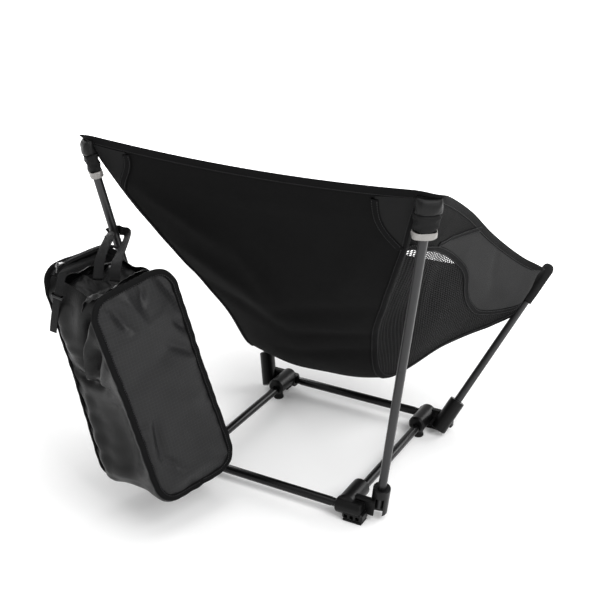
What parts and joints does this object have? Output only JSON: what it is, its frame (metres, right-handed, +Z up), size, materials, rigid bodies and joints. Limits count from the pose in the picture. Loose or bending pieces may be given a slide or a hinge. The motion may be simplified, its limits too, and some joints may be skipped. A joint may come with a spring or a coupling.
{
  "type": "ultralight backpacking chair",
  "caption": "Low camping chair: tubular base with corner hubs, leaning posts that pull out of their sockets, a hung cloth sling with mesh sides, and a carry bag on one post.",
  "frame": {"origin": "on the ground below the middle of the whole object's width and length", "axes": "+X to the sitter's right, +Y forward, +Z up"},
  "size_m": [0.5948, 0.6725, 0.5452],
  "materials": {
    "moulded_plastic": "satin moulded nylon",
    "rubber": "matt rubber",
    "black_alloy": "gloss black anodised",
    "grey_alloy": "satin dark grey anodised",
    "seat_cloth": "plain-weave coated polyester",
    "wing_cloth": "plain-weave coated polyester, a little lighter",
    "mesh_cloth": "open knitted mesh",
    "binding_tape": "ribbed woven tape",
    "reflective_tape": "light grey reflective woven tape",
    "bag_cloth": "ripstop with a soft sheen",
    "bag_gusset_cloth": "ripstop with a soft sheen"
  },
  "bodies": {
    "base": {"corner_patch_left": "binding_tape", "corner_patch_right": "binding_tape", "foot_pad_front_left": "rubber", "foot_pad_front_right": "rubber", "foot_pad_rear_left": "rubber", "foot_pad_rear_right": "rubber", "foot_stud_front_left": "rubber", "foot_stud_front_right": "rubber", "foot_stud_rear_left": "rubber", "foot_stud_rear_right": "rubber", "front_tube": "black_alloy", "hem_front": "binding_tape", "hem_rear": "binding_tape", "hem_side_left": "binding_tape", "hem_side_right": "binding_tape", "hub_front_left": "moulded_plastic", "hub_front_right": "moulded_plastic", "hub_rear_left": "moulded_plastic", "hub_rear_right": "moulded_plastic", "rear_tube": "black_alloy", "seat_panel": "seat_cloth", "side_mesh_left": "mesh_cloth", "side_mesh_right": "mesh_cloth", "side_tube_left": "black_alloy", "side_tube_right": "black_alloy", "side_wing_left": "wing_cloth", "side_wing_right": "wing_cloth"},
    "post_rear_left": {"corner_pocket_rear_left": "binding_tape", "post_tip_rear_left": "moulded_plastic", "pull_tab_left": "reflective_tape", "rear_post_ferrule_left": "black_alloy", "rear_post_lower_left": "grey_alloy", "rear_post_upper_left": "grey_alloy"},
    "post_rear_right": {"corner_pocket_rear_right": "binding_tape", "post_tip_rear_right": "moulded_plastic", "pull_tab_right": "reflective_tape", "rear_post_ferrule_right": "black_alloy", "rear_post_lower_right": "grey_alloy", "rear_post_upper_right": "grey_alloy"},
    "post_front_left": {"corner_pocket_front_left": "binding_tape", "front_post_left": "grey_alloy", "post_tip_front_left": "moulded_plastic"},
    "post_front_right": {"corner_pocket_front_right": "binding_tape", "front_post_right": "grey_alloy", "post_tip_front_right": "moulded_plastic"},
    "bag_handle": {"bag_handle": "binding_tape"},
    "bag": {"bag_binding_back": "binding_tape", "bag_binding_front": "binding_tape", "bag_gusset": "bag_gusset_cloth", "bag_panel_back": "bag_cloth", "bag_panel_front": "bag_cloth", "bag_strap": "binding_tape", "bag_zip": "binding_tape"},
    "zip_slider": {"bag_zip_slider": "moulded_plastic"}
  },
  "joints": [
    {"name": "post_pull_rear_left", "type": "slide", "parent": "base", "child": "post_rear_left", "axis": [-0.1622, -0.1373, 0.9772], "range_m": [0, 0.038]},
    {"name": "post_pull_rear_right", "type": "slide", "parent": "base", "child": "post_rear_right", "axis": [0.1622, -0.1373, 0.9772], "range_m": [0, 0.038]},
    {"name": "post_pull_front_left", "type": "slide", "parent": "base", "child": "post_front_left", "axis": [-0.3655, 0.464, 0.8069], "range_m": [0, 0.038]},
    {"name": "post_pull_front_right", "type": "slide", "parent": "base", "child": "post_front_right", "axis": [0.3655, 0.464, 0.8069], "range_m": [0, 0.038]},
    {"name": "bag_swivel", "type": "hinge", "parent": "post_rear_left", "child": "bag_handle", "pos_m": [-0.24376, -0.14574, 0.412], "axis": [0.1622, 0.1373, -0.9772], "range_deg": [0, 40]},
    {"name": "bag_swing", "type": "hinge", "parent": "bag_handle", "child": "bag", "pos_m": [-0.19839, -0.19804, 0.39158], "axis": [-0.9218, 0.3491, -0.1688], "range_deg": [0, 30]},
    {"name": "zip_slide", "type": "slide", "parent": "bag", "child": "zip_slider", "axis": [0.3309, 0.9351, 0.1268], "range_m": [0, 0.078]}
  ]
}
